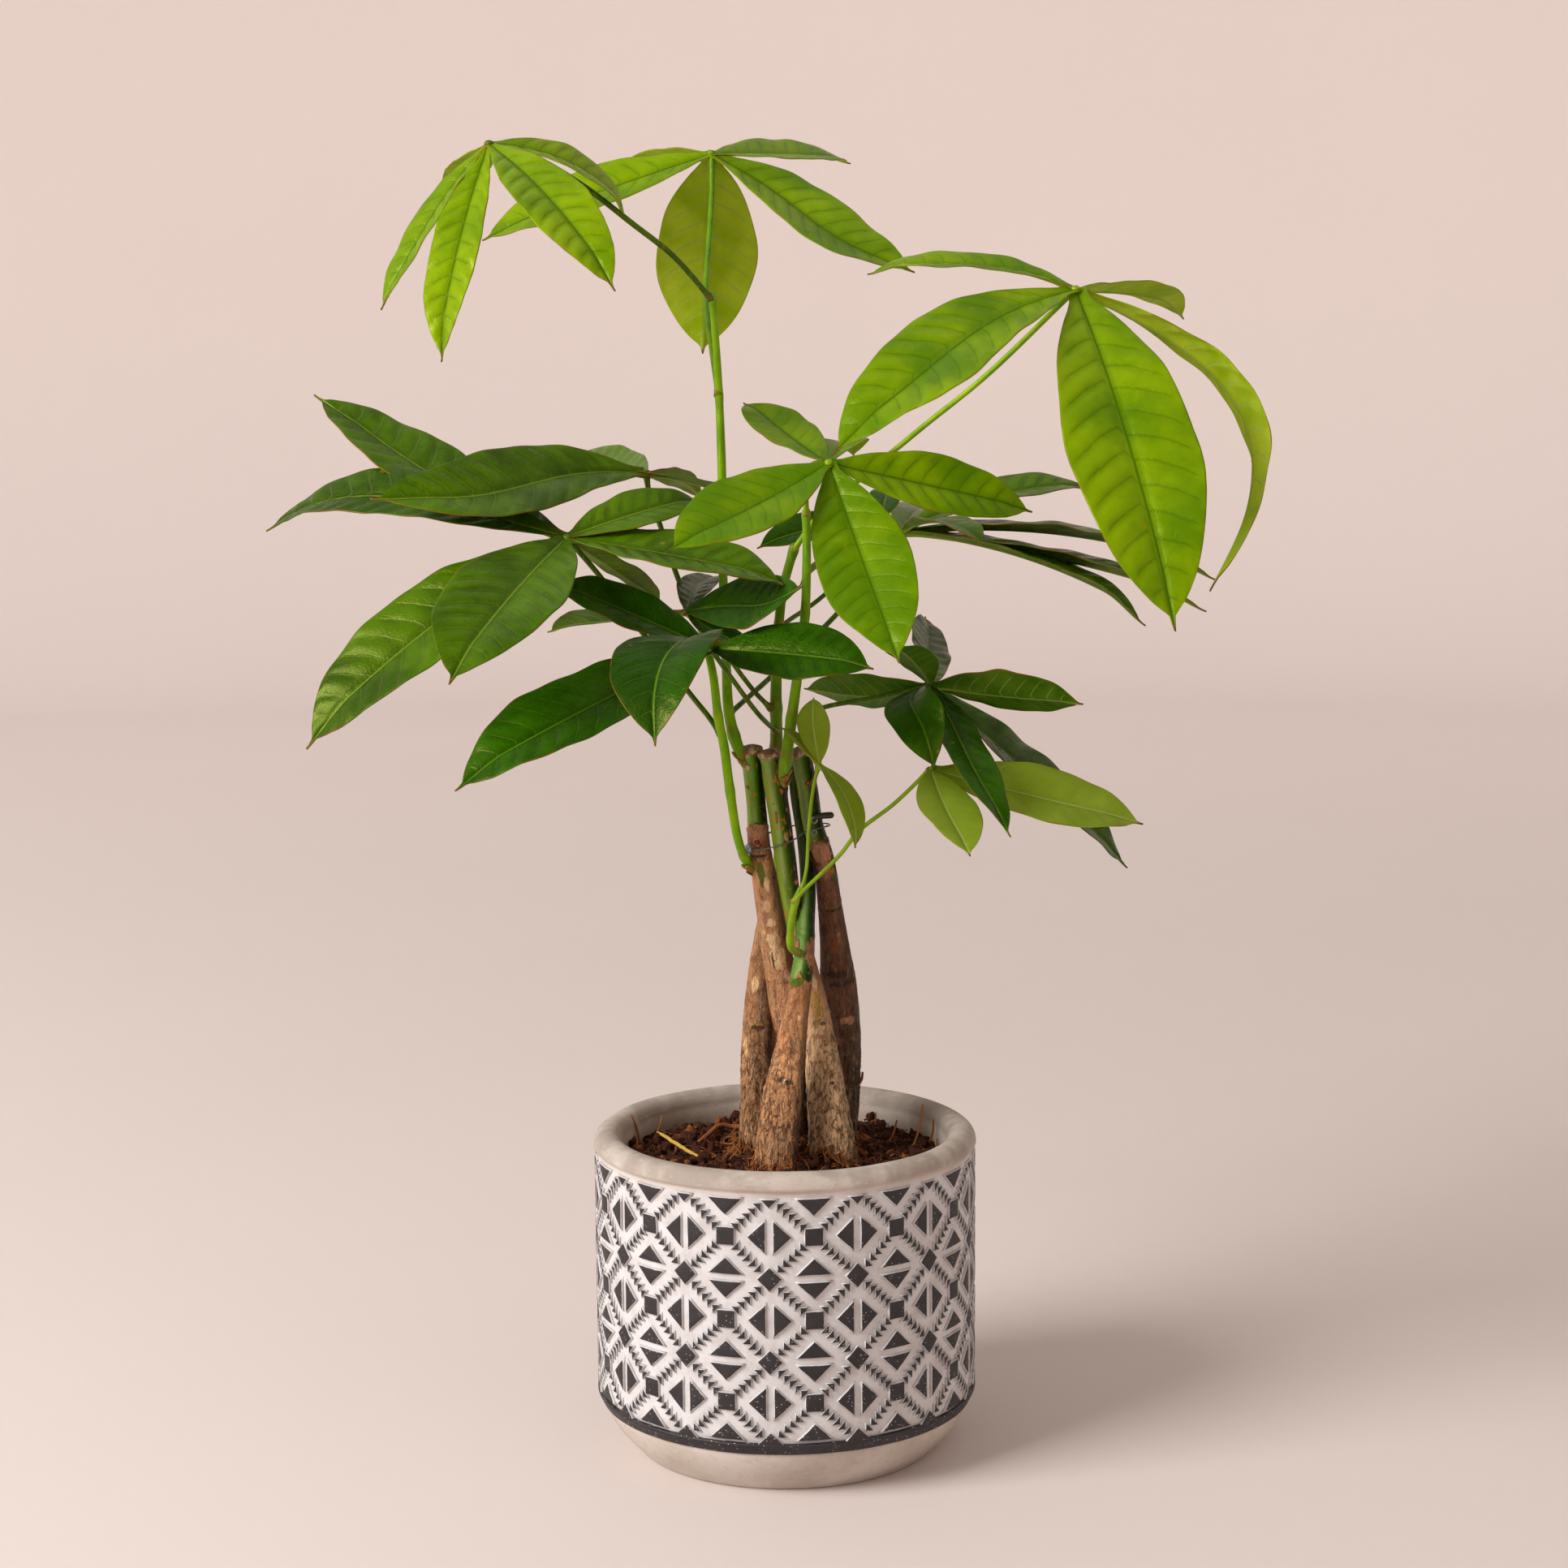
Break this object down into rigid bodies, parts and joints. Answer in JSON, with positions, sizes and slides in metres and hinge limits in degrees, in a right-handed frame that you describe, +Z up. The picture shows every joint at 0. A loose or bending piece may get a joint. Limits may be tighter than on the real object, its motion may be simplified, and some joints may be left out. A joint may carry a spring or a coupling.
{
  "type": "potted money tree",
  "caption": "Young money tree of tied slender trunks with glossy palmate leaves, in soil in a round cement pot with a raised black and white geometric pattern.",
  "frame": {"origin": "centre of the pot's flat underside", "axes": "+Z up along the pot's axis, +X to the right of the front view, +Y away from it"},
  "size_m": [0.3864, 0.2562, 0.516],
  "materials": {
    "cement": "matt cast cement, the raised pattern painted black",
    "soil": "dark fibrous potting soil",
    "bark": "thin brown bark over green, with pale scars",
    "green_stem": "smooth green stem",
    "leaf_light": "fresh light green leaf, half gloss",
    "leaf_dark": "dark green leaf, half gloss",
    "leaf_pale": "pale young leaf, half gloss",
    "clear_wire": "clear grey plastic-covered wire",
    "dark_plastic": "dark plastic"
  },
  "bodies": {
    "root": {"pot": "cement", "soil": "soil", "trunk_front": "bark", "trunk_middle": "bark", "trunk_left": "bark", "trunk_right": "bark", "trunk_rear": "bark", "shoot_tall": "green_stem", "shoot_left": "green_stem", "shoot_middle": "green_stem", "shoot_right": "green_stem", "sprout_low": "green_stem", "leaf_top_left": "leaf_light", "leaf_top_back": "leaf_light", "leaf_top_right": "leaf_light", "leaf_front": "leaf_light", "leaf_left": "leaf_dark", "leaf_left_back": "leaf_dark", "leaf_low_left": "leaf_dark", "leaf_centre": "leaf_dark", "leaf_right": "leaf_dark", "leaf_low_right": "leaf_pale", "leaf_low_small": "leaf_pale", "leaf_right_back": "leaf_dark", "leaf_centre_back": "leaf_dark", "tie_wire": "clear_wire", "tie_clip": "dark_plastic"}
  },
  "joints": []
}
